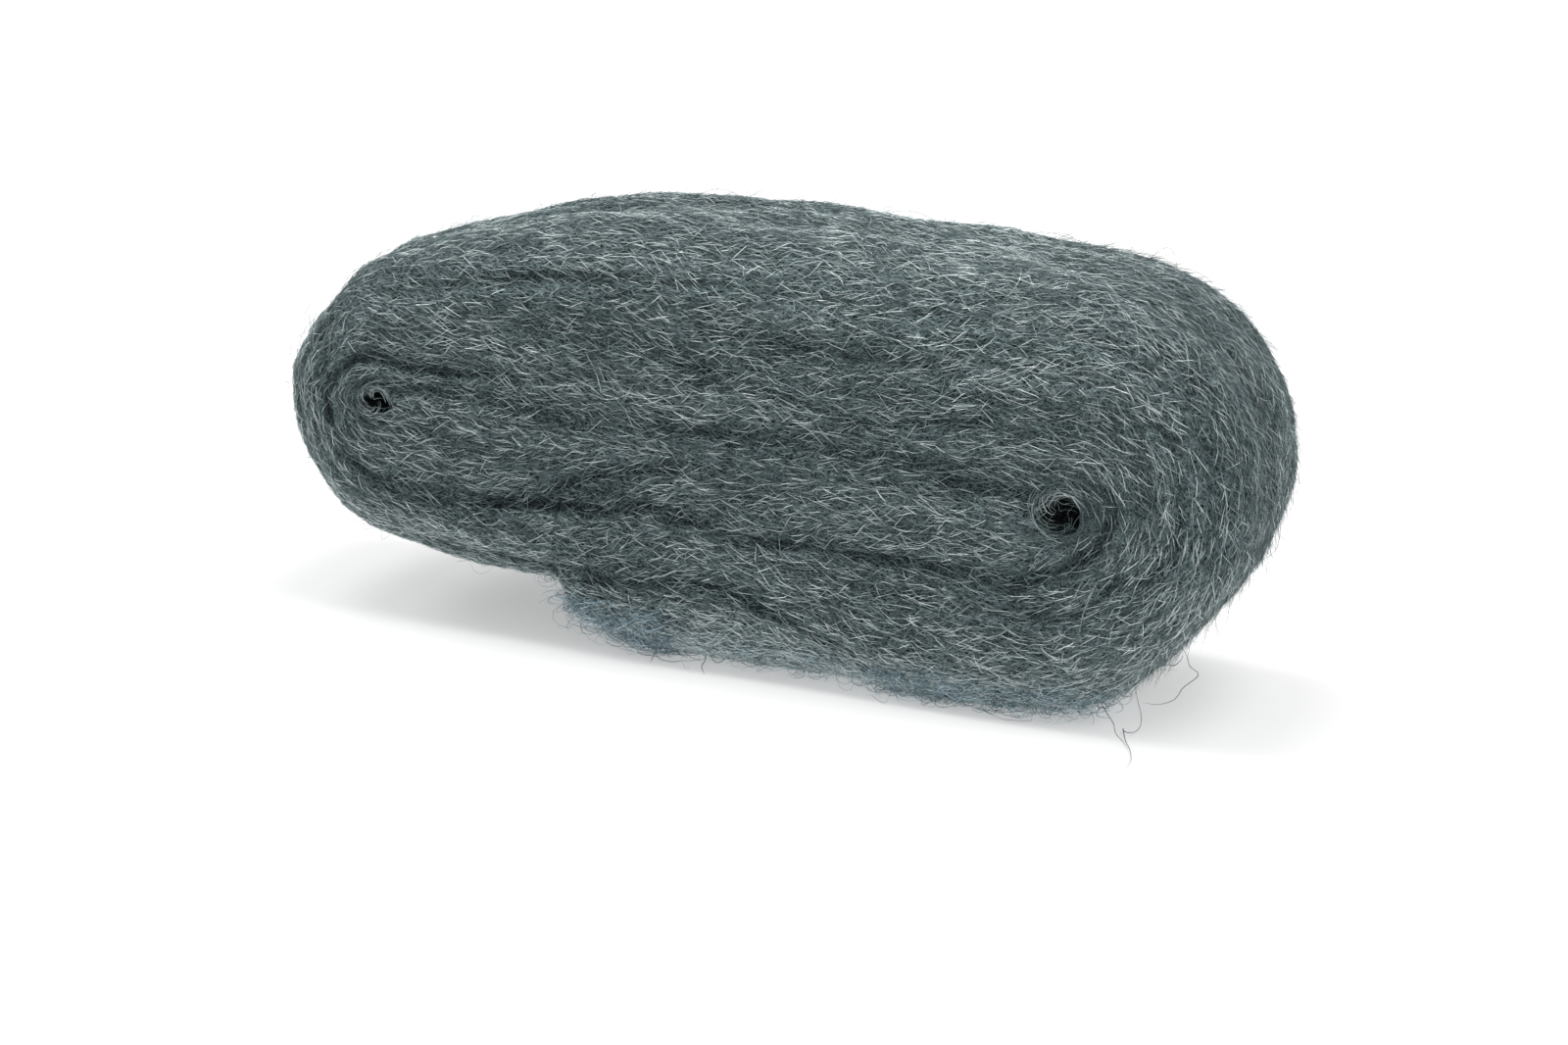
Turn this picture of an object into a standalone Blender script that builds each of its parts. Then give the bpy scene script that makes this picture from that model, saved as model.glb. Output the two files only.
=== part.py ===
"""A flat-wound roll of steel wool, lying on its long side.

Steel wool is drawn as a sliver, a wide flat strand of loose fibres. The sliver is wound
round two pins, which leave an eye at each end of the roll when they are pulled out, and
its free end is tucked under the belly. The turns are one continuous strip, so the roll is
one solid, with a fine groove between its turns that is open at both faces. Its surface
swells softly, as loose fibres do.

Metres, +Z up. X runs along the roll and Y along the winding axis, with the front face
at -Y. The origin is under the middle of the roll, on the surface that it lies on.
"""

import math

import bmesh
import bpy
from mathutils import Vector

MM = 0.001

# The two eyes, where the pins were
EYE_SPACING = 145 * MM
LEFT_EYE_HEIGHT = 47.3 * MM
RIGHT_EYE_HEIGHT = 42.6 * MM
LEFT_EYE_RADIUS = 3.3 * MM
RIGHT_EYE_RADIUS = 4.6 * MM
EYE_TAPER = 23 * MM  # from an eye to where the turns close up again

# How far the first turn reaches from the line between the eyes, in winding order: round
# the right eye in eighths of a turn, under the line to the left eye, round that one, and
# back over the line.
FIRST_RIGHT_TOP = 10.3 * MM
FIRST_RIGHT_UPPER = 9.8 * MM
FIRST_RIGHT = 9.7 * MM
FIRST_RIGHT_LOWER = 10.4 * MM
FIRST_RIGHT_BOTTOM = 13.5 * MM
FIRST_UNDER_RIGHT = 14.6 * MM
FIRST_UNDER_MIDDLE = 14.8 * MM
FIRST_UNDER_LEFT = 16.5 * MM
FIRST_LEFT_BOTTOM = 16.0 * MM
FIRST_LEFT_LOWER = 12.5 * MM
FIRST_LEFT = 9.0 * MM
FIRST_LEFT_UPPER = 8.4 * MM
FIRST_LEFT_TOP = 8.7 * MM
FIRST_OVER_LEFT = 10.5 * MM
FIRST_OVER_MIDDLE = 14.5 * MM
FIRST_OVER_RIGHT = 14.2 * MM

# How far the last turn reaches at the same places. Under the right half and the middle
# these are for the turn before it, above the hollow that the free end fills.
LAST_RIGHT_TOP = 40.5 * MM
LAST_RIGHT_UPPER = 37.6 * MM
LAST_RIGHT = 34.6 * MM
LAST_RIGHT_LOWER = 34.0 * MM
LAST_RIGHT_BOTTOM = 42.8 * MM
LAST_UNDER_RIGHT = 37.6 * MM
LAST_UNDER_MIDDLE = 29.6 * MM
LAST_UNDER_LEFT = 35.4 * MM
LAST_LEFT_BOTTOM = 32.8 * MM
LAST_LEFT_LOWER = 27.9 * MM
LAST_LEFT = 25.4 * MM
LAST_LEFT_UPPER = 23.7 * MM
LAST_LEFT_TOP = 29.6 * MM
LAST_OVER_LEFT = 39.9 * MM
LAST_OVER_MIDDLE = 42.7 * MM
LAST_OVER_RIGHT = 42.3 * MM

# The sliver
SLIVER_WIDTH = 50 * MM
FULL_TURNS = 4
GROOVE = 0.8 * MM  # between one turn and the next
EDGE_ROUND = 1.3 * MM
SHOULDER = 14 * MM  # radius over which the outer turns draw in from the faces
SIDE_WANDER = 0.6 * MM  # how far the turns stray along the winding axis
SLOW_WAVES = 0.8  # of the straying, in each turn
QUICK_WAVES = 2.3
QUICK_SHARE = 0.4
START_X = -63 * MM  # the inner end, clear of the left eye
TAIL_X = -31 * MM  # the free end, under the belly
END_TAPER = 24 * MM  # length over which both ends thin
END_THICKNESS = 0.15  # of the full thickness, at the very end
FLAT_SPOT = 0.4 * MM  # how far the roll's own weight presses it flat

# The soft swells of its surface: two sets that cross each other
SWELL = 1.2 * MM  # from the hollows to the tops
LONG_SWELLS = 12  # in each turn
SHORT_SWELLS = 19
SWELL_ACROSS = 17 * MM  # from one swell to the next, across the sliver
PRESSED_HEIGHT = 12 * MM  # below this the roll's weight flattens them

# How finely the strip is divided
RUN_STATIONS = 3  # to half the way between an eye and the middle
LAST_RUN_STATIONS = 5  # the same in the last turn
CHORD_ERROR = 0.25 * MM  # round an eye
ACROSS = 6
EDGE_STEPS = 2

STEEL_COLOUR = (0.100, 0.127, 0.130, 1.0)
STEEL_METALLIC = 0.75
STEEL_ROUGHNESS = 0.55

# A step of the winding is an eighth of a turn round an eye, or half the way between an
# eye and the middle. Step 0 is where the sliver first crosses the middle.
OVER_MIDDLE, RIGHT_TOP, RIGHT_BOTTOM, UNDER_MIDDLE = 0, 2, 6, 8
FIRST_REACH = (
    FIRST_OVER_MIDDLE,
    FIRST_OVER_RIGHT,
    FIRST_RIGHT_TOP,
    FIRST_RIGHT_UPPER,
    FIRST_RIGHT,
    FIRST_RIGHT_LOWER,
    FIRST_RIGHT_BOTTOM,
    FIRST_UNDER_RIGHT,
    FIRST_UNDER_MIDDLE,
    FIRST_UNDER_LEFT,
    FIRST_LEFT_BOTTOM,
    FIRST_LEFT_LOWER,
    FIRST_LEFT,
    FIRST_LEFT_UPPER,
    FIRST_LEFT_TOP,
    FIRST_OVER_LEFT,
)
LAST_REACH = (
    LAST_OVER_MIDDLE,
    LAST_OVER_RIGHT,
    LAST_RIGHT_TOP,
    LAST_RIGHT_UPPER,
    LAST_RIGHT,
    LAST_RIGHT_LOWER,
    LAST_RIGHT_BOTTOM,
    LAST_UNDER_RIGHT,
    LAST_UNDER_MIDDLE,
    LAST_UNDER_LEFT,
    LAST_LEFT_BOTTOM,
    LAST_LEFT_LOWER,
    LAST_LEFT,
    LAST_LEFT_UPPER,
    LAST_LEFT_TOP,
    LAST_OVER_LEFT,
)
PLACES = len(FIRST_REACH)
HALF_WAY = EYE_SPACING / 4  # between an eye and the middle
EIGHTH = math.pi / 4
START_STEP = START_X / HALF_WAY
TAIL_STEP = FULL_TURNS * PLACES + UNDER_MIDDLE - TAIL_X / HALF_WAY
BELLY_STEP = FULL_TURNS * PLACES + RIGHT_BOTTOM  # from here on the free end lies on the surface


def clear_scene():
    for old in list(bpy.data.objects):
        bpy.data.objects.remove(old)


def new_collection(name):
    collection = bpy.data.collections.new(name)
    bpy.context.scene.collection.children.link(collection)
    return collection


def turns_between(place):
    """How many turns lie between the first reach and the last at a place."""
    return FULL_TURNS if RIGHT_TOP <= place <= RIGHT_BOTTOM else FULL_TURNS - 1


def first_visit(place):
    """The step of the first turn at a place. The turn starts and ends over the right eye."""
    return place if place >= RIGHT_TOP else place + PLACES


def is_run(place):
    """Whether a place is followed by a straight run and not by a bend."""
    return not RIGHT_TOP <= place % UNDER_MIDDLE < RIGHT_BOTTOM


PITCH = [(LAST_REACH[k] - FIRST_REACH[k]) / turns_between(k) for k in range(PLACES)]
BASE = [FIRST_REACH[k] - PITCH[k] * first_visit(k) / PLACES for k in range(PLACES)]
HEART = BASE[OVER_MIDDLE]  # the sliver's first run, from the eye line up, and as much again below
BEND = EIGHTH * (LAST_LEFT + LAST_RIGHT) / 2
SPANS = [HALF_WAY if is_run(k) else BEND for k in range(PLACES)]


def round_trip(values, step):
    """The value at a step, on a smooth closed curve through the values at the places."""
    place = math.floor(step) % PLACES
    share = step - math.floor(step)
    v0, v1, v2, v3 = (values[(place + k) % PLACES] for k in (-1, 0, 1, 2))
    before, span, after = (SPANS[(place + k) % PLACES] for k in (-1, 0, 1))
    rise_in = (v2 - v0) * span / (before + span)
    rise_out = (v3 - v1) * span / (span + after)
    t2, t3 = share**2, share**3
    return (
        v1 * (2 * t3 - 3 * t2 + 1)
        + rise_in * (t3 - 2 * t2 + share)
        + v2 * (3 * t2 - 2 * t3)
        + rise_out * (t3 - t2)
    )


def ease(share):
    """0 to 1 with a level start and end."""
    share = min(1.0, max(0.0, share))
    return share * share * (3 - 2 * share)


def eye_line(step):
    """The point of the eye line under a step, and the direction straight out from it."""
    left = Vector((-EYE_SPACING / 2, LEFT_EYE_HEIGHT))
    right = Vector((EYE_SPACING / 2, RIGHT_EYE_HEIGHT))
    tilt = math.atan2(right.y - left.y, right.x - left.x)
    on_right = step % PLACES < UNDER_MIDDLE
    eye = right if on_right else left
    place = step % UNDER_MIDDLE
    foot = eye.lerp((left + right) / 2, 2 * way_from_eye(step) / EYE_SPACING)
    turned = min(max(place, RIGHT_TOP), RIGHT_BOTTOM) - RIGHT_TOP
    angle = tilt + math.pi * (0.5 if on_right else -0.5) - turned * EIGHTH
    return foot, Vector((math.cos(angle), math.sin(angle)))


def way_from_eye(step):
    place = step % UNDER_MIDDLE
    return max(0.0, RIGHT_TOP - place, place - RIGHT_BOTTOM) * HALF_WAY


def openness(step):
    """1 round an eye, down to 0 where the turns have closed up."""
    return 1 - ease(way_from_eye(step) / EYE_TAPER)


def eye_radius(step):
    return RIGHT_EYE_RADIUS if step % PLACES < UNDER_MIDDLE else LEFT_EYE_RADIUS


def boundary(step):
    """How far out the middle of the groove outside the sliver lies."""
    if step <= 0:
        return HEART + (eye_radius(step) - HEART) * openness(step)
    return round_trip(BASE, step) + round_trip(PITCH, step) * step / PLACES


def inner_boundary(step):
    """The same for the groove inside the sliver."""
    if step >= RIGHT_TOP:
        return boundary(step - PLACES)
    if step <= 0:
        return -boundary(step)
    return -HEART + (eye_radius(step) + HEART) * openness(step)


def end_fullness(step):
    """How full the sliver is: it thins towards both of its ends."""
    way = min(step - START_STEP, TAIL_STEP - step) * HALF_WAY
    share = min(1.0, way / END_TAPER)
    return END_THICKNESS + (1 - END_THICKNESS) * math.sqrt(1 - (1 - share) ** 2)


def sides(step):
    """How far out the sliver's inner and outer sides lie."""
    inner = inner_boundary(step) + GROOVE / 2
    outer = boundary(step) - GROOVE / 2
    if step > BELLY_STEP:
        outer = max(outer, eye_line(step)[0].y + FLAT_SPOT)
    spare = (outer - inner) * (1 - end_fullness(step))
    if step < OVER_MIDDLE:
        return inner + spare / 2, outer - spare / 2
    return inner, outer - spare


def outside(step):
    """How far out the roll's outside lies over a step."""
    outermost = step + math.floor((TAIL_STEP - step) / PLACES) * PLACES
    return sides(outermost)[1]


def half_width(step, reach):
    """Half the width of the roll at a distance from the eye line: it rounds off outwards."""
    depth = outside(step) - reach
    short = max(0.0, SHOULDER - max(0.0, depth))
    return SLIVER_WIDTH / 2 - SHOULDER + math.sqrt(SHOULDER**2 - short**2)


def swell(step, reach, across, height):
    """How far the surface swells, from the outside over the shoulders and down the faces."""
    depth = max(0.0, outside(step) - reach)
    section = 2 * math.pi * math.copysign(abs(across) + depth, across) / SWELL_ACROSS
    wound = 2 * math.pi * step / PLACES
    waves = math.sin(LONG_SWELLS * wound - section) + math.sin(SHORT_SWELLS * wound + section)
    way_out = min(1.0, max(0.0, reach / outside(step)))
    return SWELL / 4 * waves * way_out * ease(height / PRESSED_HEIGHT)


def sideways(across):
    """0 where the roll's surface faces straight out, up to 1 where it faces along the axis."""
    flat = SLIVER_WIDTH / 2 - SHOULDER
    return min(1.0, max(0.0, (abs(across) - flat) / SHOULDER))


def side_wander(step):
    wound = 2 * math.pi * step / PLACES
    slow = math.sin(SLOW_WAVES * wound)
    quick = math.sin(QUICK_WAVES * wound)
    return SIDE_WANDER * (slow + QUICK_SHARE * (quick - slow))


def stations():
    """The steps at which the strip is divided, from its start to its tail."""
    steps = []
    for place in range(math.floor(START_STEP), math.floor(TAIL_STEP) + 1):
        if is_run(place):
            count = LAST_RUN_STATIONS if place > TAIL_STEP - PLACES else RUN_STATIONS
        else:
            radius = boundary(place)
            count = max(2, math.ceil(EIGHTH / (2 * math.acos(1 - CHORD_ERROR / radius))))
        steps += [place + k / count for k in range(count)]
    shortest = 0.5 / LAST_RUN_STATIONS
    inside = [s for s in steps if START_STEP + shortest < s < TAIL_STEP - shortest]
    return [START_STEP, *inside, TAIL_STEP]


def flat_sliver(count, length, thickness):
    """The sliver before it is wound, with its edges rounded: its outer side is on top."""
    bm = bmesh.new()
    bmesh.ops.create_grid(bm, x_segments=count - 1, y_segments=ACROSS, size=0.5)
    bmesh.ops.translate(bm, verts=bm.verts, vec=(0.5, 0, 0))
    bmesh.ops.scale(bm, verts=bm.verts, vec=(length, SLIVER_WIDTH, 1))
    bmesh.ops.solidify(bm, geom=bm.faces[:], thickness=thickness)
    bmesh.ops.recalc_face_normals(bm, faces=bm.faces)
    rims = [edge for edge in bm.edges if edge.calc_face_angle() > EIGHTH]
    bmesh.ops.bevel(
        bm,
        geom=rims,
        affect="EDGES",
        offset=EDGE_ROUND,
        segments=EDGE_STEPS,
        profile=0.5,
        material=-1,
        clamp_overlap=True,
    )
    return bm


def wind(bm, steps, station_length, top, thickness):
    """Bends the flat sliver into its turns."""
    last = len(steps) - 1
    for vert in bm.verts:
        station = min(max(vert.co.x / station_length, 0.0), last)
        before = min(math.floor(station), last - 1)
        step = steps[before] + (steps[before + 1] - steps[before]) * (station - before)
        inner, outer = sides(step)
        rise = 1 - (top - vert.co.z) / thickness
        reach = inner + (outer - inner) * rise
        foot, out = eye_line(step)
        across = vert.co.y / (SLIVER_WIDTH / 2) * half_width(step, reach)
        lift = swell(step, reach, across, foot.y + out.y * reach)
        turned = sideways(across)
        across += math.copysign(lift * turned, across)
        if step > TAIL_STEP - PLACES:
            reach += lift * rise * math.sqrt(1 - turned**2)
        place = foot + out * reach
        vert.co = (place.x, across + side_wander(step), place.y)


def centre_over_origin(bm):
    """Moves the roll along X and Y, so that the origin is under its middle."""
    for axis in (Vector((1, 0, 0)), Vector((0, 1, 0))):
        along = [vert.co.dot(axis) for vert in bm.verts]
        bmesh.ops.translate(bm, verts=bm.verts, vec=-axis * (min(along) + max(along)) / 2)


def build_roll(collection, material):
    steps = stations()
    thickness = sum(PITCH) / PLACES - GROOVE
    station_length = 4 * EDGE_ROUND
    bm = flat_sliver(len(steps), station_length * (len(steps) - 1), thickness)
    top = max(vert.co.z for vert in bm.verts)
    wind(bm, steps, station_length, top, thickness)
    centre_over_origin(bm)
    mesh = bpy.data.meshes.new("wool_roll")
    bm.to_mesh(mesh)
    bm.free()
    mesh.materials.append(material)
    mesh.shade_smooth()
    mesh.set_sharp_from_angle(angle=EIGHTH)
    roll = bpy.data.objects.new("wool_roll", mesh)
    collection.objects.link(roll)
    return roll


def press_flat(roll, cutters):
    """Cuts the underside level, where the roll's weight presses it on the surface."""
    size = 2 * (EYE_SPACING + SLIVER_WIDTH)
    bpy.ops.mesh.primitive_cube_add(size=size, location=(0, 0, -size / 2))
    floor = bpy.context.object
    floor.name = "floor_cutter"
    for owner in list(floor.users_collection):
        owner.objects.unlink(floor)
    cutters.objects.link(floor)
    floor.hide_render = True
    floor.display_type = "WIRE"
    cut = roll.modifiers.new("flat_spot", "BOOLEAN")
    cut.operation = "DIFFERENCE"
    cut.object = floor


def steel_material():
    material = bpy.data.materials.new("steel_wool")
    material.use_nodes = True
    shader = material.node_tree.nodes["Principled BSDF"]
    shader.inputs["Base Color"].default_value = STEEL_COLOUR
    shader.inputs["Metallic"].default_value = STEEL_METALLIC
    shader.inputs["Roughness"].default_value = STEEL_ROUGHNESS
    return material


def main():
    clear_scene()
    parts = new_collection("steel_wool_roll")
    cutters = new_collection("cutters")
    roll = build_roll(parts, steel_material())
    press_flat(roll, cutters)


main()
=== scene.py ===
import math

import bmesh
import bpy
import numpy as np
from mathutils import Matrix, Vector, noise
from mathutils.bvhtree import BVHTree


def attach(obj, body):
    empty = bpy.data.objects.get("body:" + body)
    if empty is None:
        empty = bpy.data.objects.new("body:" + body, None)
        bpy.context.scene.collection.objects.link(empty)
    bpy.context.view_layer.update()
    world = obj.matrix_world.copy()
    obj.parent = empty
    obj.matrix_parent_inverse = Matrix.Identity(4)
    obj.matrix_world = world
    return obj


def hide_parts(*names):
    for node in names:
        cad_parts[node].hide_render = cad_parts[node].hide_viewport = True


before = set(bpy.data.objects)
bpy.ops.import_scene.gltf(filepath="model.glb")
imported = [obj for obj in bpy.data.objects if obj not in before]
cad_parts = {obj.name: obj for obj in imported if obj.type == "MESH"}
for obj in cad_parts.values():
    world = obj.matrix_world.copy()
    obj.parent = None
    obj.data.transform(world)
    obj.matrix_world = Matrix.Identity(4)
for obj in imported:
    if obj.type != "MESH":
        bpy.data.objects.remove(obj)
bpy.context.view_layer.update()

bl_info = {
    "name": "Steel wool roll",
    "version": (1, 0, 0),
    "blender": (4, 5, 0),
    "location": "View3D > Sidebar > Steel wool",
    "description": "A flat-wound roll of steel wool, with its strands",
    "category": "Add Mesh",
}

MM = 0.001
TURN = 16  # steps of the winding in one turn
RIGHT_TOP, RIGHT_BOTTOM, UNDER_MIDDLE = 2, 6, 8
EIGHTH = math.pi / 4
CIRCLE = 2 * math.pi
FLAT, ARC, FACE, WALL = 10, 20, 20, 5  # divisions of half the section, from the outside in
HALF_SECTION = FLAT + ARC + FACE + WALL
STRAND_SIDES = 3
SHORT, LONG, LONGEST = 4, 8, 30  # points along a strand
SHADES = 64  # columns of the strands' bake map
BRIGHTEST = 0.999
UV_MAP = "OFBake"
BODY_NODE = "wool_roll"

# Angles that strands turn by: away from the winding, along their length, with the flow.
COVER_TURNS = tuple(map(math.radians, (8, 16)))
LOOSE_TURNS = tuple(map(math.radians, (26, 7, 14)))
HALO_TURNS = tuple(map(math.radians, (38, 12, 0)))

# Creases of the front face, where turns part: depth, half width and points (x, z), all in mm.
CREASES = (
    (1.8, 1.5, ((-60, 55.1), (-69.7, 55.6), (-75.8, 57.2), (-80.5, 55.7), (-85.4, 52.3))),
    (1.8, 1.6, ((-85.4, 52.3), (-89, 47.7), (-87.9, 42.3))),
    (1.5, 1.2, ((-69.7, 55.6), (-60, 55.1), (-48.9, 55.5), (-43.4, 55.3))),
    (0.8, 1.6, ((-87.9, 42.3), (-84.1, 34.9), (-72.8, 27.9), (-61.3, 27.9), (-52.2, 28.7))),
    (2.2, 1.3, ((-52.2, 28.7), (-39.8, 31.7), (-28.7, 37.2), (-19, 39.8), (-8.4, 41.7))),
    (2.6, 1.4, ((-52.2, 28.7), (-35.4, 30.6), (-26.7, 30.6), (-15.9, 32.8), (-6.4, 31))),
    (1.4, 1.2, ((-6.4, 31), (5.1, 28), (18.4, 29.8))),
    (1.5, 2.6, ((-44, 30.6), (-32, 32.4), (-22, 35))),
    (2.4, 1.5, ((-29.3, 15.7), (-16.2, 16.9), (-3.4, 18.4), (5, 16.5), (18.6, 11.9))),
    (1.6, 1.4, ((18.6, 11.9), (33.7, 6.8))),
    (1.7, 1.2, ((76.3, 48.5), (78.7, 44.5), (77, 39.7), (74.4, 35.6), (70.8, 32.3))),
    (1.9, 1.4, ((70.8, 32.3), (64.4, 29.4), (58.8, 26.7), (51, 29.1), (39.3, 28.8),
                (27.5, 29.1))),
    (1.3, 1.3, ((84.8, 61.7), (88.3, 58.2), (90.2, 49.7), (90.4, 44.3), (89, 36.7),
                (85.6, 32.5))),
    (1, 1.2, ((85.6, 32.5), (77.4, 29.4))),
    (1.8, 2, ((46, 45.6), (50.6, 45), (58.2, 45.3), (64.8, 44.6))),
    (1.2, 1, ((-9.1, 62.1), (-0.9, 62.2))),
    (1.3, 1.1, ((13.3, 58.2), (25.2, 55.8), (34.1, 55.5), (44.6, 57.1), (52.2, 57.6))),
    (1, 0.9, ((44.5, 65.4), (49.2, 66.8))),
)

# The strands that trail on the floor and the ones that stick up at the top: (x, y, z) in mm.
TRAILING = (
    ((92, -27, 22), (92, -21, 17), (91, -15, 13), (92, -12, 10.5), (91, -12, 9), (89, -11.5, 7),
     (88, -12, 5), (86.5, -12.5, 4), (84, -12, 3), (81.5, -13, 3.5)),
    ((80, -16, 9), (81.2, -16.7, 8), (81.8, -16.3, 5), (82.8, -17.3, 3), (83.4, -19.3, 1.5),
     (82.9, -21.3, 0.8), (81, -21.3, 0.5), (80, -19.3, 0.5), (82.2, -25, 0.4), (84, -28.4, 0.4),
     (85.6, -32.8, 0.3), (85.8, -36, 0.3), (85, -36.5, 0.3)),
    ((70, -18.5, 10), (71.6, -18.2, 8), (73.8, -17.7, 6), (75.3, -18, 4), (77, -19.8, 3),
     (78.8, -21.6, 2), (80, -24, 1.2), (82.2, -26.6, 0.8), (84, -28.8, 0.4)),
    ((71, -18, 9), (72.8, -17.6, 7), (74.8, -17.7, 5), (76.6, -18.2, 3.5), (75, -17.7, 3),
     (74.7, -18.8, 2.2), (75.3, -19.5, 2), (77.8, -19.5, 2)),
    ((91, -20, 17), (90, -18, 15), (88.3, -16, 13), (86.8, -16, 13), (85, -16.3, 12),
     (83.5, -15.8, 10)),
    ((68, -19.6, 6), (69.4, -18.8, 4.5), (70.8, -18, 3.5), (71.8, -17.7, 4.5), (73.4, -18.9, 6)),
    ((-37, -12, 9), (-38.4, -11, 7), (-40, -10.5, 4), (-40, -9.9, 2.5), (-40, -9.3, 1)),
    ((-9.5, -14, 4), (-8.6, -15.7, 2), (-6.2, -17, 0.8), (-3.5, -19.5, 0.4), (-2.6, -17.4, 0.6),
     (-2, -14.9, 1.5)),
    ((-9, -14, 3), (-8.2, -15.5, 1.6), (-6.2, -18.9, 0.6), (-5.3, -22.6, 0.4), (-3.1, -26, 0.3)),
    ((-17, -18, 3), (-16.5, -19, 2), (-16.5, -21, 1), (-15.5, -24.8, 0.4)),
    ((-1, -24, 73), (2, -25.4, 76), (4.5, -25.6, 79), (6.5, -25.2, 81.5)),
    ((2, -24, 76), (5, -25.6, 79), (8, -25.4, 80.5), (11, -25, 81.5)),
    ((4, -23.5, 77), (5, -25.2, 80), (5.6, -25.4, 82.5)),
)


def setting(kind, **more):
    """Makes settings of one kind, each from its name, default and description."""

    def make(name, default, description):
        return kind(name=name, default=default, description=description, **more)

    return make


def length(name, millimetres, description):
    return measure(name, millimetres * MM, description)


def lengths(name, millimetres, description):
    kind = setting(bpy.props.FloatVectorProperty, size=len(millimetres), unit="LENGTH")
    return kind(name, [mm * MM for mm in millimetres], description)


measure = setting(bpy.props.FloatProperty, unit="LENGTH")
share = setting(bpy.props.FloatProperty, subtype="FACTOR")
angle = setting(bpy.props.FloatProperty, subtype="ANGLE")
amount = setting(bpy.props.FloatProperty, subtype="UNSIGNED", min=0)
colour = setting(bpy.props.FloatVectorProperty, subtype="COLOR", min=0, max=1)
whole = setting(bpy.props.IntProperty, subtype="UNSIGNED", min=1)


def held(values):
    """The values, none of them below 0 or above 1."""
    return np.clip(values, 0, 1)


class SteelWoolWinding(bpy.types.PropertyGroup):
    """How the sliver is wound. These are the sizes of the solid part."""

    eye_spacing: length("Eye spacing", 145, "From one eye to the other")
    left_eye_height: length("Left eye height", 47.3, "Above the surface it lies on")
    right_eye_height: length("Right eye height", 42.6, "Above the surface it lies on")
    left_eye_radius: length("Left eye radius", 3.3, "Of the hole that the pin left")
    right_eye_radius: length("Right eye radius", 4.6, "Of the hole that the pin left")
    eye_taper: length("Eye taper", 23, "From an eye to where the turns close up")
    first_reach: lengths(
        "First reach",
        (14.5, 14.2, 10.3, 9.8, 9.7, 10.4, 13.5, 14.6)
        + (14.8, 16.5, 16.0, 12.5, 9.0, 8.4, 8.7, 10.5),
        "How far the first turn reaches from the line between the eyes",
    )
    last_reach: lengths(
        "Last reach",
        (42.7, 42.3, 40.5, 37.6, 34.6, 34.0, 42.8, 37.6)
        + (29.6, 35.4, 32.8, 27.9, 25.4, 23.7, 29.6, 39.9),
        "How far the last turn reaches from the line between the eyes",
    )
    sliver_width: length("Sliver width", 50, "Of the strand that is wound")
    full_turns: whole("Full turns", 4, "Turns from the first crossing to the belly")
    groove: length("Groove", 0.8, "Between one turn and the next")
    shoulder: length("Shoulder", 14, "Radius over which the outer turns draw in")
    side_wander: length("Side wander", 0.6, "How far the turns stray sideways")
    start: length("Start", -63, "Where the inner end lies")
    tail: length("Tail", -31, "Where the free end lies")
    end_taper: length("End taper", 24, "Length over which both ends thin")
    end_thickness: share("End thickness", 0.15, "Of the full thickness, at the very end")
    flat_spot: length("Flat spot", 0.4, "How far the weight presses it flat")
    swell: length("Swell", 1.2, "From the hollows to the tops of its soft surface")
    long_swells: whole("Long swells", 12, "In each turn")
    short_swells: whole("Short swells", 19, "In each turn")
    swell_across: length("Swell across", 17, "From one swell to the next, across")
    pressed_height: length("Pressed height", 12, "Below this the swells are flattened")
    shift: lengths("Shift", (-4.583, 0.063), "Moves the origin to under the winding's middle")


class SteelWoolStrands(bpy.types.PropertyGroup):
    """How the wool's strands lie and look."""

    stations: whole("Stations", 400, "Divisions of the body once round the roll")
    lump: length("Lumps", 0.35, "Height of the soft unevenness of the wool")
    crease: length("Creases", 0.8, "Usual depth of the line between two turns")
    crease_width: length("Crease width", 1.1, "Of the line between two turns")
    seed: whole("Seed", 7, "Another number lays the strands another way")
    front: whole("Front strands", 15000, "On each half of the front face")
    over: whole("Top strands", 15000, "On the top and round both ends")
    back: whole("Back strands", 9000, "On the back face")
    under: whole("Under strands", 4000, "On the underside")
    strand_length: length("Strand length", 6.2, "Mean length of a strand that shows")
    strand_width: length("Strand width", 0.085, "Mean thickness of a strand")
    stray: angle("Stray", math.radians(20), "How far the strands turn from the way of the winding")
    lift: length("Lift", 0.6, "How far strands stand off the body")
    loose: whole("Loose strands", 1200, "Strands that stand off the roll")
    halo: whole("Halo strands", 6500, "Short ends that stick out round the outline")
    curls: whole("Curls", 1700, "Curly ends along the lower front edge and the tail")
    across_eyes: whole("Strands across the eyes", 280, "Strands that cross the holes")
    # Dark steel is the steel's colour with painted shade in it: strands deep in the wool get
    # little light.
    dark_steel: colour("Dark steel", (0.012, 0.02, 0.022), "Strands deep in the wool")
    mid_steel: colour("Steel", (0.232, 0.312, 0.32), "Most of the strands")
    bright_steel: colour("Bright steel", (0.9, 0.98, 0.98), "Freshly cut strands")
    blue_tint: colour("Blue tint", (0.76, 0.9, 1.0), "Of the fluff along the lower edge")


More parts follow.
